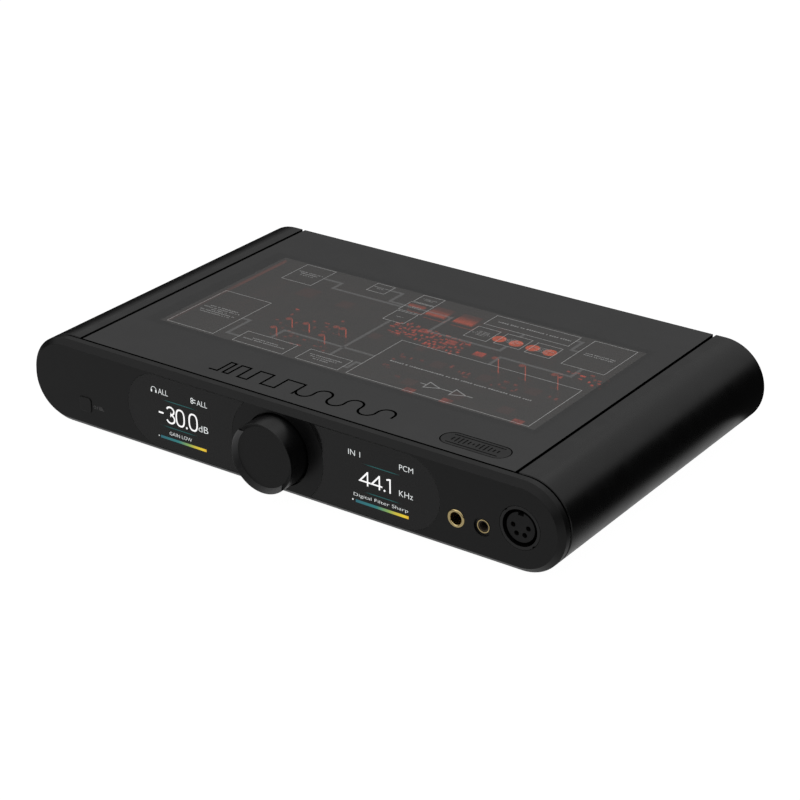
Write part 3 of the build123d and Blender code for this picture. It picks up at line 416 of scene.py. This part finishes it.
def finish_cad():
    """Give every CAD node its material."""
    for name in ("left_side_extrusion", "right_side_extrusion"):
        wear(name, case_metal)
    wear("front_panel", face_metal)
    wear("top_panel", make_top_look())
    wear("top_badge", make_badge_look())
    for name in ("base_plate", "rear_panel", "front_subframe", "top_frame"):
        wear(name, black_steel)
    wear("rubber_feet", moulded("foot_rubber", (0.012, 0.012, 0.012), 0.75, spec=0.2, grain=0.2))
    for name in ("cap_screws", "countersunk_screws", "knob_grub_screw"):
        wear(name, screw_black)
    wear("volume_knob", make_knob_look())
    wear("knob_inlay", make_inlay_look())
    lens = make_lens_look()
    for name in ("left_lens", "right_lens"):
        wear(name, lens)
    panel = moulded("display_panel", (0.004, 0.004, 0.005), 0.2, spec=0.5, grain=0.01)
    for name in ("left_display", "right_display"):
        wear(name, panel)
    wear("select_button", blasted("button_metal", (0.0022, 0.0022, 0.0024), 0.34, spec=0.5))
    for name in ("mains_inlet", "power_switch_frame", "power_switch_rocker", "optical_socket",
                 "trigger_socket", "encoder_body", "button_switch", "encoder_plunger"):
        wear(name, black_plastic)
    wear("headphone_xlr_insert", insert_plastic)
    for name in ("large_jack_body", "small_jack_body"):
        wear(name, brown_plastic)
    wear("rca_cores", moulded("core_plastic", (0.55, 0.53, 0.48), 0.45))
    for name in ("large_jack_bush", "small_jack_bush", "headphone_xlr_contacts"):
        wear(name, gold)
    wear("headphone_xlr_shell", dark_plate)
    for name in ("xlr_output_shells", "xlr_output_pins", "rca_shells", "usb_socket", "antenna_socket",
                 "mains_inlet_pins", "board_standoffs", "encoder_nut", "encoder_shaft", "receiver_shield"):
        wear(name, nickel)
    board = make_board_look()
    for name in ("upper_board", "main_board", "power_supply_board", "front_board"):
        wear(name, board)
    # The inner parts below glow with painted light: emission on their tops and a painted streak, with no lamp
    # inside the case.
    bright_can = glow_painted_part("bright_can", (0.3, 0.06, 0.02), (1.0, 0.115, 0.02), 3.4, side=0.0, above=44.0)
    wear("filter_capacitors", bright_can)
    dim_can = glow_painted_part("dim_can", (0.05, 0.01, 0.008), (1.0, 0.11, 0.04), 1.05, side=0.0, streak=3.0)
    wear("supply_capacitors", dim_can)
    relay_case = glow_painted_part("relay_case", (0.1, 0.02, 0.01), (1.0, 0.11, 0.025), 2.3, side=0.0,
                          fade=(155.5, 166, 0.12))
    wear("relays_and_crystal", relay_case)
    wear("heat_sinks", glow_painted_part("fin_metal", (0.02, 0.018, 0.018), (1.0, 0.15, 0.08), 0.04))
    wear("board_chips", glow_painted_part("chip_epoxy", (0.02, 0.018, 0.018), (1.0, 0.15, 0.08), 0.12))
    small_parts = glow_painted_part("small_parts", (0.1, 0.02, 0.01), (1.0, 0.09, 0.035), 2.6, side=0.12,
                           fade=(126, 112, 0.42), least=0.3)
    wear("surface_parts", small_parts)
    wear("power_transformer_core", black_steel)
    wear("power_transformer_winding", moulded("winding_tape", (0.35, 0.25, 0.06), 0.5))
    wear("front_ribbon_cable", moulded("ribbon", (0.1, 0.1, 0.1), 0.5))
    wear("mains_wires", moulded("wire_sleeve", (0.15, 0.05, 0.03), 0.45))


finish_cad()

# ---------------------------------------------------------------- made pieces


def mesh_piece(name, verts, faces, look):
    """A mesh of its own that rides with the chassis."""
    mesh = bpy.data.meshes.new(name)
    mesh.from_pydata([tuple(v) for v in verts], [], faces)
    mesh.validate()
    mesh.update()
    made = bpy.data.objects.new(name, mesh)
    bpy.context.scene.collection.objects.link(made)
    wear(made, look)
    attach(made, "chassis")


class Ink:
    """Flat artwork gathered as polygons in two coordinates, then laid on a surface as one mesh."""

    def __init__(self):
        self.points = []
        self.faces = []

    def poly(self, *points):
        first = len(self.points)
        self.points += points
        self.faces.append(tuple(range(first, first + len(points))))

    def rect(self, x0, x1, y0, y1):
        self.poly((x0, y0), (x1, y0), (x1, y1), (x0, y1))

    def frame(self, x0, x1, y0, y1, width):
        """The outline of a rectangle."""
        h = width / 2
        self.rect(x0 - h, x1 + h, y0 - h, y0 + h)
        self.rect(x0 - h, x1 + h, y1 - h, y1 + h)
        self.rect(x0 - h, x0 + h, y0 + h, y1 - h)
        self.rect(x1 - h, x1 + h, y0 + h, y1 - h)

    def line(self, points, width, closed=False):
        """A stroked line with mitred corners."""
        n = len(points)
        lefts, rights = [], []
        for i, p in enumerate(points):
            p = Vector(p)
            before = Vector(points[i - 1]) if (i > 0 or closed) else None
            after = Vector(points[(i + 1) % n]) if (i < n - 1 or closed) else None
            a = (p - before).normalized() if before else (after - p).normalized()
            b = (after - p).normalized() if after else a
            turn = (Vector((-a.y, a.x)) + Vector((-b.y, b.x))).normalized()
            reach = width / 2 / max(0.3, turn.dot(Vector((-a.y, a.x))))
            lefts.append(p + turn * reach)
            rights.append(p - turn * reach)
        for i in range(n if closed else n - 1):
            j = (i + 1) % n
            self.poly(tuple(rights[i]), tuple(rights[j]), tuple(lefts[j]), tuple(lefts[i]))

    def arc(self, x, y, radius, start, end, width, steps=24):
        """A stroked arc between two angles in degrees."""
        turns = [math.radians(start + (end - start) * k / steps) for k in range(steps + 1)]
        self.line([(x + radius * math.cos(t), y + radius * math.sin(t)) for t in turns], width)

    def disc(self, x, y, radius, steps=20):
        turns = [2 * math.pi * k / steps for k in range(steps)]
        self.poly(*[(x + radius * math.cos(t), y + radius * math.sin(t)) for t in turns])

    def zero(self, x, z, w, h, pen):
        """A tall oval with straight flanks."""
        points = []
        for k in range(40):
            t = 2 * math.pi * k / 40
            c, d = math.cos(t), math.sin(t)
            reach = (abs(c) ** 2.6 + abs(d) ** 2.6) ** (-1 / 2.6)
            points.append((x + w / 2 + (w - pen) / 2 * reach * c, z + h / 2 + (h - pen) / 2 * reach * d))
        self.line(points, pen, closed=True)

    def three(self, x, z, w, h, pen):
        """Two open bowls, one above the other."""
        points = []
        half, upper, lower = (w - pen) / 2, 0.235 * h - pen / 4, 0.265 * h - pen / 4
        for k in range(18):
            t = math.radians(160 - 250 * k / 17)
            rise = h - pen / 2 - upper + upper * math.sin(t)
            points.append((x + w / 2 + 0.9 * half * math.cos(t), z + rise))
        for k in range(19):
            t = math.radians(90 - 250 * k / 18)
            rise = pen / 2 + lower + lower * math.sin(t)
            points.append((x + w / 2 + half * math.cos(t), z + rise))
        self.line(points, pen)

    def four(self, x, z, w, h, pen):
        """A triangle open at the foot and crossed by its stem."""
        stem = x + 0.74 * w
        self.line([(stem, z), (stem, z + h)], pen)
        self.line([(stem, z + h - pen / 2), (x + pen / 2, z + 0.27 * h), (x + w, z + 0.27 * h)], pen)

    def one(self, x, z, w, h, pen):
        """A stem with a short flag."""
        self.line([(x + w - pen / 2, z), (x + w - pen / 2, z + h)], pen)
        self.line([(x + w, z + h - pen / 2), (x + w - pen, z + h - pen / 2), (x, z + 0.88 * h)], pen)

    def dashes(self, x0, x1, y, height, seed):
        """A line of small words without letters: short bars of uneven length."""
        rng = random.Random(seed)
        x = x0
        while x < x1 - 0.4:
            length = min(rng.uniform(0.5, 1.0) * height, x1 - x)
            self.rect(x, x + length, y - height / 2, y + height * rng.choice((0.3, 0.3, 0.5)))
            x += length + height * rng.choice((0.35, 0.35, 0.35, 0.35, 1.1))

    def on_top(self, name, z, look):
        mesh_piece(name, [at(x, y, z) for x, y in self.points], self.faces, look)

    def on_front(self, name, y, look):
        mesh_piece(name, [at(x, y, z) for x, z in self.points], self.faces, look)


def print_look(name, shade, share):
    """Screen-printed ink: pale, slightly uneven and partly see-through."""
    look = Look(name, (shade, shade, shade), 0.5, spec=0.3)
    patches = look.remap(look.noise(700.0), 0.3, 0.7, 0, 1)
    look.feed("Base Color", look.mix(patches, (shade * 0.85,) * 3, (shade,) * 3))
    return look.see_through(share)


# The block diagram's boxes in case millimetres: left, right, front, back, and the lines of bars in each
BOXES = [
    (-116.8, -84.5, 52.6, 103.2, 5), (-102.7, -82.0, 135.6, 160.0, 3), (-52.4, -40.4, 148.7, 160.0, 2),
    (-20.8, -6.6, 150.0, 160.3, 2), (-21.5, -6.5, 136.2, 149.0, 2), (-20.9, -7.3, 120.7, 134.7, 1),
    (-70.6, -36.9, 52.1, 65.9, 2), (-28.3, -0.8, 52.4, 66.1, 3), (5.0, 117.0, 52.4, 102.7, 0),
    (28.8, 82.3, 145.8, 159.2, 0), (28.4, 42.8, 126.4, 141.4, 4), (47.1, 63.0, 127.4, 141.6, 4),
    (67.0, 82.3, 126.6, 140.8, 4), (90.7, 116.7, 125.1, 159.7, 2),
]
# The middle lines of the bands that join the boxes
FLOWS = [
    [(-82.0, 148.1), (-69.2, 148.1), (-69.2, 139.7), (-21.5, 139.7)],
    [(-40.4, 155.1), (-31.8, 155.1), (-31.8, 142.5), (9.8, 142.5), (9.8, 120.5), (55.4, 120.5),
     (55.4, 127.4)],
    [(-15.6, 120.7), (-15.6, 66.1)],
    [(-84.5, 77.7), (-79.0, 77.7), (-79.0, 58.1), (-70.6, 58.1)],
    [(-55.2, 65.9), (-55.2, 77.7), (5.0, 77.7)],
    [(-0.8, 58.1), (1.6, 58.1), (1.6, 66.0), (5.0, 66.0)],
    [(82.3, 154.1), (86.2, 154.1), (86.2, 142.5), (90.7, 142.5)],
    [(54.8, 145.8), (54.8, 141.6)],
    [(103.6, 125.1), (103.6, 113.7), (60.4, 113.7), (60.4, 102.7)],
]


BOX_LINE = 0.32
BAND_WIDTH = 1.9
SIGN_LINE = 0.7
LONG_LINE_HEIGHT = 1.3


def make_window_print():
    """The block diagram on the window: outlined boxes, flow bands and lines of bars where words would be."""
    ink = Ink()
    words = Ink()
    bands = Ink()
    for k, (x0, x1, y0, y1, lines) in enumerate(BOXES):
        ink.frame(x0, x1, y0, y1, BOX_LINE)
        small = (x1 - x0) < 17
        height = 0.75 if small else 1.0
        pitch = height * 2.1
        for i in range(lines):
            y = (y0 + y1) / 2 + ((lines - 1) / 2 - i) * pitch
            reach = (x1 - x0) * (0.30 + 0.12 * math.sin(2.3 * i + k))
            words.dashes((x0 + x1) / 2 - reach, (x0 + x1) / 2 + reach, y, height, 10 * k + i)
    words.dashes(34.0, 80.0, 152.4, LONG_LINE_HEIGHT, 201)
    words.dashes(15.0, 104.0, 78.0, LONG_LINE_HEIGHT, 202)
    for path in FLOWS:
        bands.line(path, BAND_WIDTH)
    for points in ([(48.0, 60.5), (48.0, 67.5), (56.0, 64.0)], [(64.0, 60.5), (64.0, 67.5), (72.0, 64.0)]):
        words.line(points, SIGN_LINE, closed=True)
    words.line([(44.0, 64.0), (47.6, 64.0)], SIGN_LINE)
    words.line([(56.6, 64.0), (63.6, 64.0)], SIGN_LINE)
    words.line([(72.6, 64.0), (76.2, 64.0)], SIGN_LINE)
    ink.on_top("window_print_boxes", top_z + 0.04, print_look("box_ink", 0.8, 0.25))
    words.on_top("window_print_bars", top_z + 0.05, print_look("bar_ink", 0.6, 0.3))
    bands.on_top("window_print_flows", top_z + 0.03, print_look("flow_ink", 0.34, 0.5))


def glow_look(name, color, strength):
    """A lit display, very slightly uneven."""
    look = Look(name, (0.02, 0.02, 0.02), 0.3)
    grain = look.remap(look.noise(2500.0, 1.0), 0.3, 0.7, 0.97, 1.03)
    return look.glow(color, look.math("MULTIPLY", grain, strength))


white_glow = glow_look("readout_white", (1.0, 1.0, 1.0), 1.0)
soft_glow = glow_look("readout_soft_white", (0.96, 1.0, 1.0), 0.85)
SHEET_Y = -0.04


def text_piece(name, text, x0, x1, z0, z1, look, thin):
    """Characters in the plain built-in face, thinned a little and fitted to a box on the front."""
    curve = bpy.data.curves.new(name + "_curve", "FONT")
    curve.body = text
    curve.offset = thin
    curve.resolution_u = 6
    source = bpy.data.objects.new(name + "_source", curve)
    bpy.context.scene.collection.objects.link(source)
    bpy.context.view_layer.update()
    mesh = bpy.data.meshes.new_from_object(source)
    bpy.data.objects.remove(source)
    xs = [v.co.x for v in mesh.vertices]
    ys = [v.co.y for v in mesh.vertices]
    sx = (x1 - x0) / (max(xs) - min(xs))
    sy = (z1 - z0) / (max(ys) - min(ys))
    for v in mesh.vertices:
        v.co = at(x0 + (v.co.x - min(xs)) * sx, SHEET_Y, z0 + (v.co.y - min(ys)) * sy)
    made = bpy.data.objects.new(name, mesh)
    bpy.context.scene.collection.objects.link(made)
    wear(made, look)
    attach(made, "chassis")


def faded_line(name, x0, x1, z, height, color, strength):
    """A thin teal line that fades out at both ends."""
    look = Look(name + "_look", (0.01, 0.01, 0.01), 0.3)
    middle = at((x0 + x1) / 2, 0, 0).x
    off = look.math("ABSOLUTE", look.math("SUBTRACT", look.axes()[0], middle))
    look.glow(color, strength)
    look.see_through(look.remap(off, (x1 - x0) * 0.0002, (x1 - x0) * 0.0005, 0.0, 1.0, smooth=True))
    ink = Ink()
    ink.rect(x0, x1, z - height / 2, z + height / 2)
    ink.on_front(name, SHEET_Y, look)


def level_bar(name, x0, x1, z, height):
    """A level bar that runs from teal through green to yellow."""
    look = Look(name + "_look", (0.01, 0.01, 0.01), 0.3)
    across = look.remap(look.axes()[0], at(x0, 0, 0).x, at(x1, 0, 0).x, 0.0, 1.0)
    colors = look.ramp(across, (0.0, (0.02, 0.13, 0.17)), (0.4, (0.025, 0.2, 0.2)), (0.62, (0.25, 0.42, 0.1)),
                       (0.75, (0.6, 0.5, 0.05)), (0.92, (0.85, 0.62, 0.03)), (1.0, (0.82, 0.48, 0.03)))
    look.glow(colors, 0.9)
    ink = Ink()
    ink.rect(x0, x1, z - height / 2, z + height / 2)
    ink.on_front(name, SHEET_Y, look)


def make_readouts():
    """Left display: a level, its rules and bar. Right display: a sample rate, its rules and bar."""
    teal = (0.02, 0.19, 0.19)
    level_z, level_height, level_pen = 19.2, 10.2, 0.95
    rate_z, rate_height, rate_pen = 20.2, 7.9, 0.85
    digits = Ink()
    digits.rect(-78.9, -75.6, 23.8, 24.8)
    digits.three(-74.0, level_z, 6.4, level_height, level_pen)
    digits.zero(-67.3, level_z, 6.3, level_height, level_pen)
    digits.disc(-59.9, 19.8, 0.62)
    digits.zero(-58.5, level_z, 6.3, level_height, level_pen)
    digits.four(51.8, rate_z, 6.9, rate_height, rate_pen)
    digits.four(59.0, rate_z, 6.9, rate_height, rate_pen)
    digits.disc(67.2, 20.8, 0.6)
    digits.one(68.4, rate_z, 2.6, rate_height, rate_pen)
    digits.on_front("readout_digits", SHEET_Y, white_glow)
    text_piece("readout_level_unit", "dB", -51.8, -45.3, 20.3, 24.0, soft_glow, -0.01)
    text_piece("readout_phones", "ALL", -78.6, -71.9, 34.9, 38.0, soft_glow, -0.01)
    text_piece("readout_line", "ALL", -52.2, -45.3, 35.1, 38.2, soft_glow, -0.01)
    text_piece("readout_gain", "GAIN LOW", -72.1, -56.8, 12.6, 14.6, soft_glow, -0.012)
    faded_line("readout_rule_1", -76.8, -51.7, 32.1, 0.5, teal, 0.45)
    faded_line("readout_rule_2", -78.0, -52.0, 17.0, 0.5, teal, 0.45)
    level_bar("readout_gain_bar", -78.4, -47.1, 10.2, 1.5)
    text_piece("readout_rate_unit", "KHz", 76.0, 84.3, 20.6, 23.8, soft_glow, -0.01)
    text_piece("readout_source", "IN 1", 45.3, 52.6, 34.9, 37.9, soft_glow, -0.01)
    text_piece("readout_format", "PCM", 76.2, 84.5, 35.0, 38.0, soft_glow, -0.01)
    text_piece("readout_filter", "Digital Filter Sharp", 48.2, 81.3, 12.2, 14.6, soft_glow, -0.012)
    faded_line("readout_rule_3", 53.5, 77.8, 32.0, 0.5, teal, 0.45)
    faded_line("readout_rule_4", 54.0, 78.0, 16.5, 0.5, teal, 0.45)
    level_bar("readout_filter_bar", 49.4, 81.6, 10.1, 1.6)
    icons = Ink()
    icons.arc(-81.6, 36.4, 1.7, -20, 200, 0.3)
    icons.rect(-83.6, -82.7, 34.9, 36.4)
    icons.rect(-80.5, -79.6, 34.9, 36.4)
    for dx, dz in ((0.0, 0.6), (0.0, -0.9)):
        icons.arc(-55.4 + dx, 37.0 + dz, 0.75, 0, 360, 0.4, 16)
        icons.line([(-54.6 + dx, 37.0 + dz), (-53.0, 37.0 + dz)], 0.4)
    icons.disc(-79.6, 10.3, 0.35)
    icons.disc(47.6, 10.4, 0.45)
    icons.on_front("readout_icons", SHEET_Y, soft_glow)


def make_legend():
    """The button's printed legend: a power mark and three short bars."""
    ink = Ink()
    ink.arc(-124.9, 14.4, 0.85, 125, 415, 0.28, 20)
    ink.rect(-125.04, -124.76, 14.5, 15.6)
    ink.line([(-123.4, 13.5), (-122.6, 15.4)], 0.24)
    for k in range(3):
        ink.rect(-121.9, -118.4 - 0.5 * k, 13.6 + 0.75 * k, 13.95 + 0.75 * k)
    ink.on_front("button_legend", -0.03, print_look("legend_ink", 0.22, 0.2))


def make_glow_strip():
    """The light guide along the left edge of the window: a thin upright strip with a painted glow along its
    top edge.
    """
    look = Look("light_guide", (0.05, 0.02, 0.015), 0.4)
    axes = look.axes()
    # Painted glow: only the strip's top edge shines, more towards the back.
    along = look.remap(axes[1], at(0, 105, 0).y, at(0, 130, 0).y, 0.3, 1.0, smooth=True)
    edge = look.remap(axes[2], at(0, 0, 42.6).z, at(0, 0, 43.2).z, 0.0, 2.2)
    look.glow((1.0, 0.16, 0.08), look.math("MULTIPLY", along, edge))
    verts, faces = [], []
    for y in (62.0, 168.0):
        for x, z in ((-125.6, board_z), (-124.6, board_z), (-124.6, 43.6), (-125.6, 43.6)):
            verts.append(at(x, y, z))
    for k in range(4):
        faces.append((k, (k + 1) % 4, (k + 1) % 4 + 4, k + 4))
    faces += [(0, 1, 2, 3), (7, 6, 5, 4)]
    mesh_piece("light_guide", verts, faces, look)


make_window_print()
make_readouts()
make_legend()
make_glow_strip()

# ---------------------------------------------------------------- studio

# How bright the floor before the object, the floor under it, the open sky and the dark rest look in a mirror
FRONT_FLOOR = 0.33
UNDER_FLOOR = 0.42
SKY = 0.46
DARK = 0.015


def make_stage():
    """A white paper floor. What the object mirrors is a paler strip in front of it and under it."""
    look = Look("floor_paper", (0.86, 0.86, 0.86), 0.9, spec=0.0)
    paper = look.node("ShaderNodeBsdfDiffuse")
    look.set(paper, "Color", (0.1, 0.1, 0.1))
    seen = look.node("ShaderNodeEmission")
    seen.inputs["Strength"].default_value = 0.985
    both = look.node("ShaderNodeAddShader")
    look.link(paper.outputs[0], both.inputs[0])
    look.link(seen.outputs[0], both.inputs[1])
    x, y, _ = look.axes()
    ahead = look.remap(y, -0.12, -0.01, FRONT_FLOOR, 0.0, smooth=True)
    beside = look.remap(look.math("ABSOLUTE", x), 0.166, 0.198, 1.0, 0.0, smooth=True)
    below = look.remap(look.math("ABSOLUTE", y), 0.10, 0.112, 1.0, 0.0, smooth=True)
    under = look.math("MULTIPLY", look.math("MULTIPLY", beside, below), UNDER_FLOOR)
    dim = look.node("ShaderNodeEmission")
    look.set(dim, "Strength", look.math("ADD", look.math("MAXIMUM", ahead, under), DARK))
    rays = look.node("ShaderNodeLightPath")
    pick = look.node("ShaderNodeMixShader")
    look.link(rays.outputs["Is Camera Ray"], pick.inputs[0])
    look.link(dim.outputs[0], pick.inputs[1])
    look.link(both.outputs[0], pick.inputs[2])
    look.link(pick.outputs[0], look.out.inputs["Surface"])
    mesh = bpy.data.meshes.new("floor")
    mesh.from_pydata([(-4, -4, 0), (4, -4, 0), (4, 4, 0), (-4, 4, 0)], [], [(0, 1, 2, 3)])
    floor = bpy.data.objects.new("floor", mesh)
    bpy.context.scene.collection.objects.link(floor)
    mesh.materials.append(look.mat)


def make_world():
    """White to the eye; to the object, a studio that is dark at the horizon and pale above."""
    world = bpy.data.worlds.new("studio")
    bpy.context.scene.world = world
    world.use_nodes = True
    tree = world.node_tree
    tree.nodes.clear()
    out = tree.nodes.new("ShaderNodeOutputWorld")
    seen = tree.nodes.new("ShaderNodeBackground")
    seen.inputs["Color"].default_value = (1, 1, 1, 1)
    around = tree.nodes.new("ShaderNodeBackground")
    around.inputs["Color"].default_value = (1, 1, 1, 1)
    coords = tree.nodes.new("ShaderNodeTexCoord")
    split = tree.nodes.new("ShaderNodeSeparateXYZ")
    tree.links.new(coords.outputs["Generated"], split.inputs[0])
    height = tree.nodes.new("ShaderNodeMapRange")
    height.interpolation_type = "SMOOTHSTEP"
    for name, value in (("From Min", 0.24), ("From Max", 0.42), ("To Min", DARK), ("To Max", SKY)):
        height.inputs[name].default_value = value
    tree.links.new(split.outputs[2], height.inputs["Value"])
    tree.links.new(height.outputs[0], around.inputs["Strength"])
    rays = tree.nodes.new("ShaderNodeLightPath")
    pick = tree.nodes.new("ShaderNodeMixShader")
    tree.links.new(rays.outputs["Is Camera Ray"], pick.inputs[0])
    tree.links.new(around.outputs[0], pick.inputs[1])
    tree.links.new(seen.outputs[0], pick.inputs[2])
    tree.links.new(pick.outputs[0], out.inputs["Surface"])


def soft_box(name, place, aim, size, power):
    """A rectangular lamp turned towards a point."""
    light = bpy.data.lights.new(name, "AREA")
    light.shape = "RECTANGLE"
    light.size, light.size_y = size
    light.energy = power
    made = bpy.data.objects.new(name, light)
    bpy.context.scene.collection.objects.link(made)
    made.location = place
    made.rotation_euler = (Vector(aim) - Vector(place)).to_track_quat("-Z", "Y").to_euler()


LENS = 101.2
DISTANCE = 1.2127


def make_camera():
    """The camera: angles round the middle of the CAD box, a small shift of the aim, and a slight roll."""
    azimuth, elevation, roll = (math.radians(a) for a in (35.750, 25.376, -0.588))
    low, high = cad_bounds
    centre = (Vector(low) + Vector(high)) / 2
    aim = centre + Vector((0.0054, 0.0001, -0.0085))
    level = Vector((math.sin(azimuth), -math.cos(azimuth), 0)) * math.cos(elevation)
    back = level + Vector((0, 0, math.sin(elevation)))
    right = (-back).cross(Vector((0, 0, 1))).normalized()
    up = right.cross(-back)
    r = math.cos(roll) * right + math.sin(roll) * up
    u = -math.sin(roll) * right + math.cos(roll) * up
    data = bpy.data.cameras.new("camera")
    data.sensor_width = 36.0
    data.lens = LENS
    data.clip_start = 0.01
    data.clip_end = 20.0
    camera = bpy.data.objects.new("camera", data)
    turn = Matrix((r, u, back)).transposed().to_4x4()
    camera.matrix_world = Matrix.Translation(aim + back * DISTANCE) @ turn
    bpy.context.scene.collection.objects.link(camera)
    bpy.context.scene.camera = camera


make_stage()
make_world()
soft_box("top_box", (0.1, 0.1, 1.1), (0, 0, 0), (1.6, 1.2), 2.5)
soft_box("front_box", (-0.7, -1.3, 0.7), (0, 0, 0.02), (0.9, 0.6), 2.0)
make_camera()
bpy.context.scene.view_settings.view_transform = "Standard"
